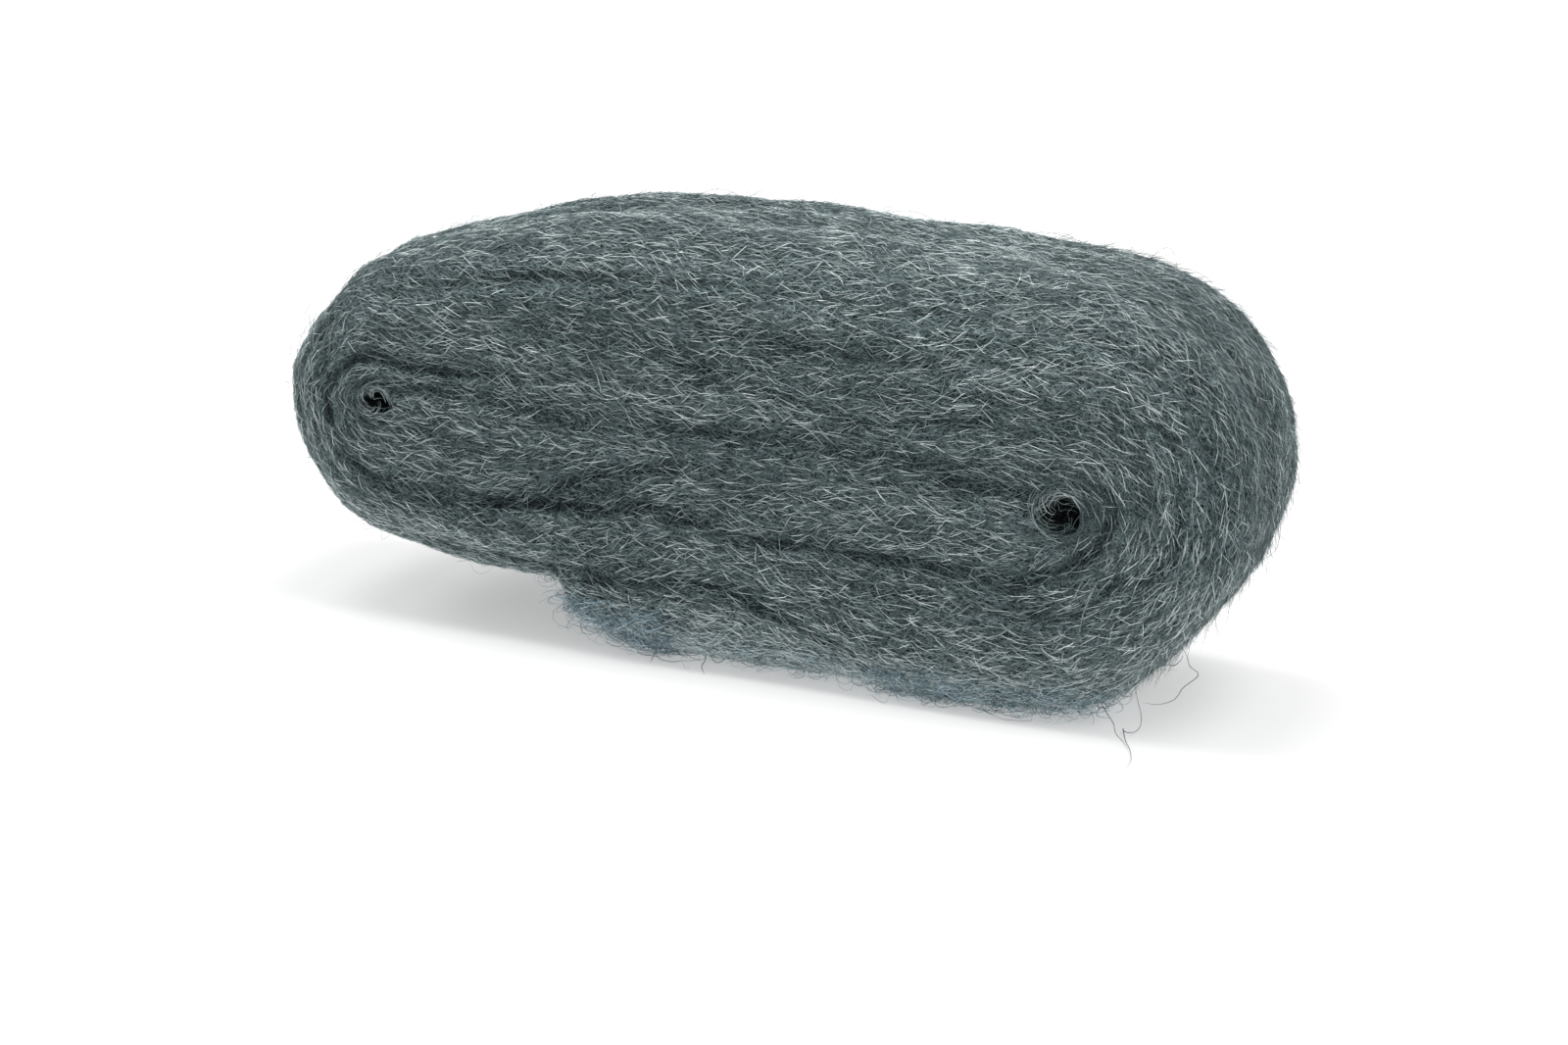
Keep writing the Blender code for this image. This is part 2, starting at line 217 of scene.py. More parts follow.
class SteelWoolStudio(bpy.types.PropertyGroup):
    """The camera, the lights and the floor."""

    focal_length: setting(bpy.props.FloatProperty, unit="CAMERA", min=1)(
        "Focal length", 60, "In millimetres"
    )
    azimuth: angle("Azimuth", math.radians(23.7), "Of the camera, from straight in front")
    elevation: angle("Elevation", math.radians(18.3), "Of the camera")
    distance: length("Distance", 526, "From the camera to its target")
    target: lengths("Target", (2.54, 0, 24.6), "The point that the camera looks at")
    daylight: amount("Daylight", 0.68, "Strength of the light all round")
    lamp_strength: amount("Lamp strength", 0.76, "Of each soft lamp above")
    lamps: setting(bpy.props.IntProperty, subtype="UNSIGNED", min=2)(
        "Lamps", 4, "Soft lamps in the arc over the roll"
    )
    lamp_spread: angle("Lamp spread", math.radians(92), "From the first lamp to the last")
    floor_colour: colour("Floor", (0.95, 0.95, 0.95), "Of the plain pale floor")
    floor_glow: share("Floor glow", 0.34, "How much of the floor's white doesn't take shadow")


class Winding:
    """The path of the sliver through its turns, worked out for many steps at once."""

    def __init__(self, sizes):
        self.sizes = sizes
        self.half_way = sizes.eye_spacing / 4
        first = np.array(sizes.first_reach)
        last = np.array(sizes.last_reach)
        places = np.arange(TURN)
        round_right = (places >= RIGHT_TOP) & (places <= RIGHT_BOTTOM)
        turns = np.where(round_right, sizes.full_turns, sizes.full_turns - 1)
        visit = np.where(places >= RIGHT_TOP, places, places + TURN)
        self.pitch = (last - first) / turns
        self.base = first - self.pitch * visit / TURN
        self.heart = self.base[0]
        bend = EIGHTH * (last[UNDER_MIDDLE + RIGHT_TOP + 2] + last[RIGHT_TOP + 2]) / 2
        in_bend = (places % UNDER_MIDDLE >= RIGHT_TOP) & (places % UNDER_MIDDLE < RIGHT_BOTTOM)
        self.spans = np.where(in_bend, bend, self.half_way)
        self.start = sizes.start / self.half_way
        self.tail = sizes.full_turns * TURN + UNDER_MIDDLE - sizes.tail / self.half_way
        self.belly = sizes.full_turns * TURN + RIGHT_BOTTOM

    def round_trip(self, values, step):
        """The value at each step, on a smooth closed curve through the values at the places."""
        place = np.floor(step).astype(int)
        part = step - place
        v0, v1, v2, v3 = (values[(place + k) % TURN] for k in (-1, 0, 1, 2))
        before, span, after = (self.spans[(place + k) % TURN] for k in (-1, 0, 1))
        rise_in = (v2 - v0) * span / (before + span)
        rise_out = (v3 - v1) * span / (span + after)
        t2, t3 = part**2, part**3
        return (
            v1 * (2 * t3 - 3 * t2 + 1)
            + rise_in * (t3 - 2 * t2 + part)
            + v2 * (3 * t2 - 2 * t3)
            + rise_out * (t3 - t2)
        )

    def way_from_eye(self, step):
        place = step % UNDER_MIDDLE
        way = np.maximum(RIGHT_TOP - place, place - RIGHT_BOTTOM)
        return np.maximum(0.0, way) * self.half_way

    def openness(self, step):
        """1 round an eye, down to 0 where the turns have closed up."""
        way = held(self.way_from_eye(step) / self.sizes.eye_taper)
        return 1 - way * way * (3 - 2 * way)

    def eye_line(self, step):
        """The point of the eye line under each step, and the direction straight out."""
        sizes = self.sizes
        left = np.array((-sizes.eye_spacing / 2, sizes.left_eye_height))
        right = np.array((sizes.eye_spacing / 2, sizes.right_eye_height))
        tilt = math.atan2(right[1] - left[1], right[0] - left[0])
        on_right = step % TURN < UNDER_MIDDLE
        eye = np.where(on_right[:, None], right, left)
        way = (2 * self.way_from_eye(step) / sizes.eye_spacing)[:, None]
        foot = eye + ((left + right) / 2 - eye) * way
        turned = np.clip(step % UNDER_MIDDLE, RIGHT_TOP, RIGHT_BOTTOM) - RIGHT_TOP
        angle = tilt + math.pi * np.where(on_right, 0.5, -0.5) - turned * EIGHTH
        return foot, np.stack((np.cos(angle), np.sin(angle)), axis=1)

    def eye_radius(self, step):
        on_right = step % TURN < UNDER_MIDDLE
        return np.where(on_right, self.sizes.right_eye_radius, self.sizes.left_eye_radius)

    def boundary(self, step):
        """How far out the middle of the groove outside the sliver lies."""
        early = self.heart + (self.eye_radius(step) - self.heart) * self.openness(step)
        wound = self.round_trip(self.base, step) + self.round_trip(self.pitch, step) * step / TURN
        return np.where(step <= 0, early, wound)

    def inner_boundary(self, step):
        """The same for the groove inside the sliver."""
        eye = -self.heart + (self.eye_radius(step) + self.heart) * self.openness(step)
        early = np.where(step <= 0, -self.boundary(step), eye)
        return np.where(step >= RIGHT_TOP, self.boundary(step - TURN), early)

    def sides(self, step):
        """How far out the sliver's inner and outer sides lie."""
        sizes = self.sizes
        inner = self.inner_boundary(step) + sizes.groove / 2
        outer = self.boundary(step) - sizes.groove / 2
        floor = self.eye_line(step)[0][:, 1] + sizes.flat_spot
        outer = np.where(step > self.belly, np.maximum(outer, floor), outer)
        way = np.minimum(step - self.start, self.tail - step) * self.half_way
        thin = 1 - held(way / sizes.end_taper)
        full = sizes.end_thickness + (1 - sizes.end_thickness) * np.sqrt(1 - thin**2)
        spare = (outer - inner) * (1 - full)
        centred = step < 0
        return inner + np.where(centred, spare / 2, 0), outer - np.where(centred, spare / 2, spare)

    def half_width(self, step, reach):
        """Half the width of the roll at a distance from the eye line."""
        sizes = self.sizes
        depth = self.sides(self.outermost(step))[1] - reach
        short = np.maximum(0.0, sizes.shoulder - np.maximum(0.0, depth))
        return sizes.sliver_width / 2 - sizes.shoulder + np.sqrt(sizes.shoulder**2 - short**2)

    def wander(self, step):
        wound = CIRCLE * step / TURN
        slow, quick = np.sin(0.8 * wound), np.sin(2.3 * wound)
        return self.sizes.side_wander * (slow + 0.4 * (quick - slow))

    def strayed(self, step, reach):
        """How far the turn at each point strays sideways. Next to a groove they blend."""
        outermost = self.outermost(step)
        stray = self.wander(outermost)
        for inward in range(1, self.sizes.full_turns + 2):
            turn = outermost - inward * TURN
            inside = held((self.boundary(turn) - reach) / (1.5 * MM) + 0.5)
            stray = stray + (self.wander(turn) - stray) * inside
        return stray * held((reach - 1.5 * MM) / (6 * MM))

    def swelled(self, step, reach, across):
        """The reach and the place across of points, once the surface has its swells."""
        sizes = self.sizes
        inner, outside = self.sides(self.outermost(step))
        depth = np.maximum(0, outside - reach)
        section = CIRCLE * np.copysign(np.abs(across) + depth, across) / sizes.swell_across
        wound = CIRCLE * step / TURN
        waves = np.sin(sizes.long_swells * wound - section)
        waves += np.sin(sizes.short_swells * wound + section)
        foot, out = self.eye_line(step)
        low = held((foot[:, 1] + out[:, 1] * reach) / sizes.pressed_height)
        towards_eye = held(reach / outside)
        lift = sizes.swell / 4 * waves * towards_eye * low * low * (3 - 2 * low)
        sideways = held((np.abs(across) - sizes.sliver_width / 2) / sizes.shoulder + 1)
        rise = held(1 - depth / (outside - inner))
        across = across + np.copysign(lift * sideways, across)
        return reach + lift * rise * np.sqrt(1 - sideways**2), across

    def outermost(self, step):
        return step + np.floor((self.tail - step) / TURN) * TURN

    def place(self, step, reach, y):
        """Points at a distance from the eye line and a place along the winding axis."""
        foot, out = self.eye_line(step)
        at = foot + out * reach[:, None]
        shift = self.sizes.shift
        return np.stack((at[:, 0] + shift[0], y + shift[1], at[:, 1]), axis=1)

    def even_steps(self, count):
        """Steps once round the roll, evenly apart along its outside."""
        fine = np.linspace(0, TURN, 8001)
        reach = self.sides(self.outermost(fine))[1]
        points = self.place(fine, reach, np.zeros_like(fine))
        run = np.concatenate(([0], np.cumsum(np.linalg.norm(np.diff(points, axis=0), axis=1))))
        even = np.linspace(0, run[-1], count, endpoint=False)
        return np.interp(even, run, fine), even


def finished_mesh(bm, name):
    mesh = bpy.data.meshes.new(name)
    bm.to_mesh(mesh)
    bm.free()
    return mesh


def add_object(name, data):
    thing = bpy.data.objects.new(name, data)
    bpy.context.scene.collection.objects.link(thing)
    return thing


def sort_mesh(bm, place):
    """Puts vertices and faces in the same order each run, as their tools don't."""
    bm.verts.sort(key=place)
    bm.verts.index_update()
    whole_sum = 4 * len(bm.verts)

    def face_place(face):
        corners = [vertex.index for vertex in face.verts]
        return whole_sum * min(corners) + sum(corners)

    bm.faces.sort(key=face_place)


def aim(thing, way):
    """Turns a camera or a lamp so that it looks along a way."""
    thing.rotation_mode = "QUATERNION"
    thing.rotation_quaternion = way.to_track_quat("-Z", "Y")


def balls_mesh(name, rings, copies):
    """Copies of a closed ball in the same place, ready to be drawn out into strands."""
    bm = bmesh.new()
    bmesh.ops.create_uvsphere(bm, u_segments=STRAND_SIDES, v_segments=rings, radius=rings)

    def place(vertex):
        x, y, z = vertex.co
        return 100 * z + (math.atan2(y, x) + 1) % CIRCLE

    sort_mesh(bm, place)
    ball = finished_mesh(bm, name)
    holder = add_object(name + "_copies", ball)
    array = holder.modifiers.new("copies", "ARRAY")
    array.use_relative_offset = False
    array.count = copies
    graph = bpy.context.evaluated_depsgraph_get()
    mesh = bpy.data.meshes.new_from_object(holder.evaluated_get(graph))
    mesh.name = name
    bpy.data.objects.remove(holder)
    bpy.data.meshes.remove(ball)
    return mesh


def read_vectors(items, key):
    values = np.empty(len(items) * 3, np.float32)
    items.foreach_get(key, values)
    return values.reshape(-1, 3).astype(float)


def set_points(mesh, points):
    mesh.vertices.foreach_set("co", points.astype(np.float32).ravel())
    mesh.update()


def rings_and_sides(mesh, rings):
    """Which ring and which side of its ball each vertex is on. The poles count as side 1."""
    points = read_vectors(mesh.vertices, "co")
    size = np.linalg.norm(points, axis=1)
    ring = np.rint((1 - np.arccos(np.clip(points[:, 2] / size, -1, 1)) / math.pi) * rings)
    ring = ring.astype(int)
    angle = np.arctan2(points[:, 1], points[:, 0])
    on_ring = (ring > 0) & (ring < rings)
    turned = (angle - angle[on_ring][0]) / CIRCLE * STRAND_SIDES
    side = np.rint(turned).astype(int) % STRAND_SIDES
    side[~on_ring] = 1
    return ring, side


def unit(vectors):
    size = np.linalg.norm(vectors, axis=-1, keepdims=True)
    return vectors / np.maximum(size, 1e-12)


def finish_piece(name, mesh, material, points):
    mesh.materials.append(material)
    mesh.shade_smooth()
    set_points(mesh, points)
    piece = add_object(name, mesh)
    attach(piece, "root")
    return piece


def corner_values(mesh, *values):
    """Per-vertex values as per-corner ones."""
    corners = np.empty(len(mesh.loops), np.int32)
    mesh.loops.foreach_get("vertex_index", corners)
    return [value[corners] for value in values]


def set_uv(mesh, u, v):
    layer = mesh.uv_layers.new(name=UV_MAP)
    layer.data.foreach_set("uv", np.stack((u, v), axis=1).astype(np.float32).ravel())


def ring_mesh(name, around, sides):
    """A closed ring of round section, with the station and the side of each vertex."""
    bm = bmesh.new()
    bmesh.ops.create_circle(bm, segments=sides, radius=sides)
    turn = Matrix.Rotation(math.pi / 2, 3, "X")
    bmesh.ops.rotate(bm, verts=bm.verts, cent=(0, 0, 0), matrix=turn)
    bmesh.ops.translate(bm, verts=bm.verts, vec=(around, 0, 0))
    bmesh.ops.spin(
        bm,
        geom=bm.verts[:] + bm.edges[:],
        cent=(0, 0, 0),
        axis=(0, 0, 1),
        angle=CIRCLE,
        steps=around,
        use_merge=True,
    )

    def place(vertex):
        x, y, z = vertex.co
        turned = math.atan2(z, math.hypot(x, y) - around) / CIRCLE + 0.25
        station = round(math.atan2(y, x) / CIRCLE * around) % around
        return station * sides + round(turned * sides) % sides

    sort_mesh(bm, place)
    return finished_mesh(bm, name), *np.divmod(np.arange(around * sides), sides)


def eye_hole(winding, step):
    """How far the hole of an eye reaches from the eye line: a round hole with a thin slit."""
    way = winding.way_from_eye(step)
    uneven = 1 + 0.13 * np.sin(2.1 * step + 0.4) * np.sin(0.9 * step)
    radius = winding.eye_radius(step) * 0.88 * uneven
    hole = np.sqrt(np.maximum(0, radius**2 - (0.7 * way) ** 2))
    slit = 0.8 * MM * held(1 - way / (9 * MM))
    return np.maximum(np.maximum(hole, slit), 0.02 * MM)


def pressed_section(winding, step, side):
    """The reach and the place along the axis of each vertex of the body."""
    sizes = winding.sizes
    flat = sizes.sliver_width / 2 - sizes.shoulder
    mirrored = side > HALF_SECTION
    place = np.where(mirrored, 2 * HALF_SECTION - side, side)
    outside = winding.sides(winding.outermost(step))[1]
    hole = eye_hole(winding, step)
    turned = held((place - FLAT) / ARC) * math.pi / 2
    inward = held((place - FLAT - ARC) / FACE)
    drawn_in = outside - sizes.shoulder * (1 - np.cos(turned))
    reach = drawn_in + (hole - drawn_in) * inward
    y = flat * held(place / FLAT) + sizes.shoulder * np.sin(turned)
    back = held((place - FLAT - ARC - FACE) / WALL)
    y = y * (1 - back)
    return reach, np.where(mirrored, y, -y)


def crease_depth(winding, strands, step, reach):
    """How deep the line between two turns is at each point, from 0 to about 2."""
    deepest = np.zeros_like(step)
    for turn in range(-1, winding.sizes.full_turns + 1):
        wound = step + turn * TURN
        line = winding.boundary(np.minimum(wound, winding.tail))
        away = (reach - line) / strands.crease_width
        here = np.exp(-(away**2)) * (wound < winding.tail)
        along = np.stack((wound * 0.45, 0 * wound + turn * 3.3, 0 * wound), axis=1)
        strength = np.clip(0.45 + 1.5 * cloud(along, 9), 0.05, 2)
        deepest = np.maximum(deepest, here * strength)
    return deepest


def cloud(points, seed):
    """Smooth noise at points that are already divided by the size of its lumps."""
    offset = np.array((seed * 17.3, seed * -9.1, seed * 5.7))
    return np.array([noise.noise(Vector(p)) for p in points + offset])


def streaked_cloud(points, along, size, seed):
    """Noise that is drawn out along the wool."""
    shifts = np.linspace(-1.6, 1.6, 5) * size
    return sum(cloud((points + along * k) / size, seed) for k in shifts) / 3


def near_line(points, line):
    """How far each point is from a line of points, and the line's direction there."""
    nearest = np.full(len(points), np.inf)
    way = np.zeros((len(points), 2))
    for start, end in zip(line, line[1:]):
        span = end - start
        part = held((points - start) @ span / (span @ span))
        away = np.linalg.norm(points - start - part[:, None] * span, axis=1)
        nearer = away < nearest
        nearest[nearer] = away[nearer]
        way[nearer] = span / np.linalg.norm(span)
    return nearest, way


def front_creases(points, along):
    """Depth of the front face's creases at each point, and the flow bent along them."""
    deepest = np.zeros(len(points))
    pull = np.zeros((len(points), 3))
    flat = points[:, [0, 2]] / MM
    front = held((-points[:, 1] / MM - 9) / 8)
    for depth, width, line in CREASES:
        away, way = near_line(flat, np.array(line))
        deepest = np.maximum(deepest, depth * np.exp(-((away / (0.8 * width)) ** 2)))
        way = np.stack((way[:, 0], 0 * away, way[:, 1]), axis=1)
        same = np.sign((way * along).sum(axis=1))[:, None]
        pull += way * same * (1.6 * np.exp(-((away / (3.5 * width)) ** 2)))[:, None]
    return deepest * front, unit(along + pull * front[:, None])


def rim_light(step, side):
    """Where the front edge of the roll is painted lighter, from 0 to 1: pale fluff, and a painted
    highlight where the shoulder meets the light from above.
    """
    place = (side - FLAT) / ARC
    over_edge = held(place / 0.35) * held((1.25 - place) / 0.4)
    front = (side < HALF_SECTION) & (side > FLAT)
    first, last = 0.4, 8.6
    along = held((step - first) / 1.5) * held((last - step) / 0.3)
    return over_edge * front * along


def wound_body(winding, strands):
    """The body as one closed mesh, and the way along the wool at each vertex."""
    around, sides = strands.stations, 2 * HALF_SECTION
    mesh, station, side = ring_mesh("wool_body", around, sides)
    steps, run = winding.even_steps(around)
    step = steps[station]
    reach, y = pressed_section(winding, step, side)
    flat_reach = reach
    reach, y = winding.swelled(step, reach, y)
    y = y + winding.strayed(step, flat_reach)
    points = winding.place(step, reach, y)
    nudge = 0.02
    along = unit(winding.place(step + nudge, reach, y) - winding.place(step - nudge, reach, y))
    set_points(mesh, points)
    if signed_volume(mesh) < 0:
        mesh.flip_normals()
        mesh.update()
    out = read_vectors(mesh.vertex_normals, "vector")
    lumps = streaked_cloud(points, along, 9 * MM, 3)
    lumps = lumps + 0.5 * streaked_cloud(points, along, 3.5 * MM, 4)
    on_face = (np.abs(y) > 6 * MM) & (reach > 1.5 * MM)
    creases = crease_depth(winding, strands, step, reach) * on_face
    parted, along = front_creases(points, along)
    dip = creases * strands.crease + 0.5 * parted * MM
    from_hole = (reach - eye_hole(winding, step)) / (3 * MM)
    clear = held(from_hole)
    points = points + out * (clear * (lumps * strands.lump - dip))[:, None]
    points[:, 2] = np.maximum(points[:, 2], 0.0)
    flow = np.stack((run[station], y, reach), axis=1)
    # Painted light: a painted highlight on the front edge, and painted shade in the creases.
    tone = 0.06 * rim_light(step, side) - 0.13 * np.clip(parted, 0, 2) - 0.06 * creases * clear
    towards_front = held(-points[:, 1] / (6 * MM))
    fringe = held(1.3 - points[:, 2] / (8 * MM)) * towards_front
    downward = np.clip(-out[:, 2], 0, 0.6) * towards_front
    # Painted shade on the outer right end.
    painted_shade_right_end = held(points[:, 0] / (30 * MM) - 2) * held(out[:, 0])
    # Painted shade on the walls of the eye holes.
    painted_shade_in_hole = np.abs(side - HALF_SECTION) < WALL
    tone -= 0.035 * held(0.6 - points[:, 0] / (120 * MM))
    # Painted shade round the eye holes.
    by_eye = held(1.2 - winding.way_from_eye(step) / (5 * MM))
    tone -= 0.12 * np.exp(-(from_hole**2)) * by_eye
    tone += 0.2 * lumps + 0.42 * fringe + 0.2 * downward - 0.15 * painted_shade_right_end - 0.25 * painted_shade_in_hole
    return mesh, points, along, station, side, {"run": flow, "tone": tone, "fringe": fringe}


def signed_volume(mesh):
    bm = bmesh.new()
    bm.from_mesh(mesh)
    volume = bm.calc_volume(signed=True)
    bm.free()
    return volume


def lay_out_body(mesh, station, side, around):
    """Lays the body's skin flat for the bake."""
    sides = 2 * HALF_SECTION
    corner_station, corner_side = corner_values(mesh, station, side)
    totals = np.empty(len(mesh.polygons), np.int32)
    mesh.polygons.foreach_get("loop_total", totals)
    face = np.repeat(np.arange(len(totals)), totals)
    turned = []
    for value, whole_way in ((corner_station, around), (corner_side, sides)):
        least = np.full(len(totals), whole_way)
        most = np.zeros(len(totals), int)
        np.minimum.at(least, face, value)
        np.maximum.at(most, face, value)
        wraps = (most - least)[face] > whole_way / 2
        turned.append(np.where(wraps & (value < whole_way / 2), value + whole_way, value))
    set_uv(mesh, 0.002 + 0.996 * turned[0] / around, 0.002 + 0.996 * turned[1] / sides)


class Surface:
    """The body as the strands find it: the nearest point, the way out and the way along."""

    def __init__(self, points, along, tone):
        self.points = points
        first = np.arange(len(points)).reshape(-1, 2 * HALF_SECTION)
        last = np.roll(first, -1, axis=1)
        ahead, across = np.roll(first, -1, axis=0), np.roll(last, -1, axis=0)
        corners = np.stack((first, last, across, ahead), axis=-1).reshape(-1, 4)
        self.tree = BVHTree.FromPolygons(points.tolist(), corners.tolist())
        self.corners = corners
        self.along = unit(along[corners[:, 0]] + along[corners[:, 2]])
        square = np.cross(
            points[corners[:, 2]] - points[corners[:, 0]],
            points[corners[:, 3]] - points[corners[:, 1]],
        )
        self.area = np.linalg.norm(square, axis=1) / 2
        self.facing = unit(square)
        self.centre = points[corners].mean(axis=1)
        self.tone = tone[corners].mean(axis=1)
        self.open = np.array([self.is_open(face) for face in range(len(corners))])

    def is_open(self, face):
        """Whether nothing lies over a face."""
        facing = Vector(self.facing[face])
        start = Vector(self.centre[face]) + facing * 0.1 * MM
        return self.tree.ray_cast(start, facing, 80 * MM)[0] is None

    def nearest(self, points):
        found = [self.tree.find_nearest(Vector(p)) for p in points]
        index = np.array([hit[2] for hit in found])
        at = np.array([tuple(hit[0]) for hit in found])
        return at, self.facing[index], self.along[index], index

    def scatter(self, rng, wanted, count):
        """Random points on the wanted faces, evenly over their area."""
        weight = np.where(self.open, self.area * wanted, 0)
        chosen = rng.choice(len(weight), size=count, p=weight / weight.sum())
        s, t = rng.random((2, count, 1))
        a, b, c, d = (self.points[self.corners[chosen, k]] for k in range(4))
        return (a * (1 - s) + b * s) * (1 - t) + (d * (1 - s) + c * s) * t


def sweep(points, size):
    """How the flow of the wool bends aside, as an angle from about -1 to 1."""
    return cloud(points / size, 5)


def trace(surface, rng, seeds, levels, spacing, turns):
    """Paths along the surface from the seeds, with the way out at each of their points."""
    stray, wobble, swirl = turns
    at, out, along, index = surface.nearest(seeds)
    # The tone carries the body's painted shade and painted highlight to each strand.
    tone = surface.tone[index]
    angle = rng.normal(0, stray, len(seeds)) + swirl * sweep(seeds, 24 * MM)
    curl = rng.normal(0, wobble, len(seeds))
    path, outs = [at], [out]
    for _ in range(levels - 1):
        heading = along * np.cos(angle)[:, None] + np.cross(out, along) * np.sin(angle)[:, None]
        at, out, along, index = surface.nearest(at + heading * spacing[:, None])
        angle = angle + curl + rng.normal(0, wobble, len(seeds))
        path.append(at)
        outs.append(out)
    return np.stack(path, axis=1), np.stack(outs, axis=1), tone


def strand_shades(rng, count, tone):
    """Mostly grey strands, with dark ones and a few that catch the light, shifted by the body's
    tone and painted light where each starts.
    """
    shade = rng.beta(1.4, 2.2, count)
    shiny = rng.random(count) < 0.14
    shade[shiny] = rng.uniform(0.6, 1.0, shiny.sum())
    return np.clip(shade + tone, 0, BRIGHTEST)


def curls(surface, rng, seeds):
    """Open loops that start and end near the surface."""
    count = len(seeds)
    at, out, along, _ = surface.nearest(seeds)
    across = np.cross(out, along)
    lean = rng.uniform(-1.2, 1.2, (count, 1))
    first = unit(along * rng.choice((-1, 1), (count, 1)) + across * lean)
    sideways = across * rng.normal(0, 0.5, (count, 1))
    second = unit(out + sideways + along * rng.normal(0, 0.4, (count, 1)))
    radius = rng.gamma(4.0, 0.28 * MM, (count, 1))
    turn = rng.uniform(0.35, 1.05, (count, 1)) * 2 * math.pi
    angle = np.linspace(0, 1, LONG)[None, :] * turn
    drift = rng.uniform(-1.2, 1.2, (count, 1)) * radius * angle / math.pi
    return (
        at[:, None]
        - 0.4 * MM * out[:, None]
        + first[:, None] * (radius * np.sin(angle) * 1.4 + drift)[:, :, None]
        + second[:, None] * (radius * (1 - np.cos(angle)))[:, :, None]
    )


def eye_crossings(winding, rng, count):
    """Strands across the holes of the eyes, at both faces."""
    sizes = winding.sizes
    paths = []
    for k in range(count):
        on_right, in_front = k % 2 == 0, k % 4 < 2
        radius = sizes.right_eye_radius if on_right else sizes.left_eye_radius
        x = sizes.eye_spacing / 2 * (1 if on_right else -1) + sizes.shift[0]
        z = sizes.right_eye_height if on_right else sizes.left_eye_height
        part = np.linspace(0, 1, LONG)
        bulge = np.sin(part * math.pi)
        free = k % 12 < 7
        start = rng.normal(math.radians(110), math.radians(70)) if free else rng.uniform(0, 7)
        angle = start + part * rng.uniform(0.2, 0.9) * math.pi
        ring = radius * (rng.uniform(0.9, 1.4) + rng.uniform(-0.9, 0) * (part if free else bulge))
        line = np.stack((np.cos(angle), np.sin(angle)), axis=1) * ring[:, None]
        sunk = rng.uniform(-0.5, 0) * MM + rng.uniform(0, 1.8) * MM * (part if free else bulge)
        y = (sizes.sliver_width / 2 - sunk) * (-1 if in_front else 1)
        paths.append(np.stack((x + line[:, 0], y, z + line[:, 1]), axis=1))
    return np.array(paths)


def smooth_line(points, count):
    """Points evenly along a smooth curve through the given ones."""
    before, after = 2 * points[:1] - points[1:2], 2 * points[-1:] - points[-2:-1]
    padded = np.concatenate((before, points, after))
    span = np.linspace(0, len(points) - 1, 20 * len(points))
    k = np.minimum(span.astype(int), len(points) - 2)
    t = (span - k)[:, None]
    p0, p1, p2, p3 = (padded[k + j] for j in range(4))
    curve = 0.5 * (
        2 * p1 + (p2 - p0) * t + (2 * p0 - 5 * p1 + 4 * p2 - p3) * t**2
        + (3 * p1 - p0 - 3 * p2 + p3) * t**3
    )
    run = np.concatenate(([0], np.cumsum(np.linalg.norm(np.diff(curve, axis=0), axis=1))))
    even = np.linspace(0, run[-1], count)
    return np.stack([np.interp(even, run, curve[:, axis]) for axis in range(3)], axis=1)


def soften(paths):
    """Evens out the bends of paths, with their ends held."""
    middle = (paths[:, :-2] + 2 * paths[:, 1:-1] + paths[:, 2:]) / 4
    return np.concatenate((paths[:, :1], middle, paths[:, -1:]), axis=1)


def strand_piece(name, paths, width, shade, material, rng):
    """One closed tapered strand along each path. Shade from 0 dark to 1 bright."""
    count, levels = paths.shape[:2]
    rings = levels - 1
    paths = paths.copy()
    paths[:, :, 2] = np.maximum(paths[:, :, 2], 0.12 * MM)
    mesh = balls_mesh(name, rings, count)
    ring, side = rings_and_sides(mesh, rings)
    which = np.repeat(np.arange(count), len(ring) // count)
    ahead = unit(np.gradient(paths, axis=1))
    helper = rng.normal(size=(count, 1, 3))
    chord = unit(paths[:, -1:] - paths[:, :1])
    helper = unit(helper - chord * (helper * chord).sum(axis=-1, keepdims=True))
    first = unit(np.cross(ahead, helper))
    second = np.cross(ahead, first)
    fullness = np.sin(np.linspace(0, math.pi, levels)) ** 0.45
    radius = width[which] / 2 * fullness[ring]
    angle = side * CIRCLE / STRAND_SIDES
    points = (
        paths[which, ring]
        + first[which, ring] * (radius * np.cos(angle))[:, None]
        + second[which, ring] * (radius * np.sin(angle))[:, None]
    )
    column = np.clip((shade * SHADES).astype(int), 0, SHADES - 1)
    u = (column[which] + 0.15 + 0.35 * side) / SHADES
    v = 0.02 + 0.96 * ring / rings
    set_uv(mesh, *corner_values(mesh, u, v))
    return finish_piece(name, mesh, material, points)


def new_group(name, inputs, outputs):
    group = bpy.data.node_groups.new(name, "ShaderNodeTree")
    for label, kind, default in inputs:
        socket = group.interface.new_socket(label, in_out="INPUT", socket_type=kind)
        socket.default_value = default
    for label, kind in outputs:
        group.interface.new_socket(label, in_out="OUTPUT", socket_type=kind)
    return group, group.nodes.new("NodeGroupInput"), group.nodes.new("NodeGroupOutput")


def add(tree, kind, settings=(), inputs=(), **named):
    """A node with its settings, and its inputs set or linked."""
    node = tree.nodes.new("ShaderNode" + kind)
    for key, value in dict(settings).items():
        setattr(node, key, value)
    for key, value in (dict(inputs) | named).items():
        socket = node.inputs[key]
        if isinstance(value, bpy.types.NodeSocket):
            tree.links.new(value, socket)
        else:
            socket.default_value = value
    return node


def calc(tree, operation, first, second=0.0, third=0.0):
    settings = {"operation": operation}
    return add(tree, "Math", settings, {0: first, 1: second, 2: third}).outputs[0]


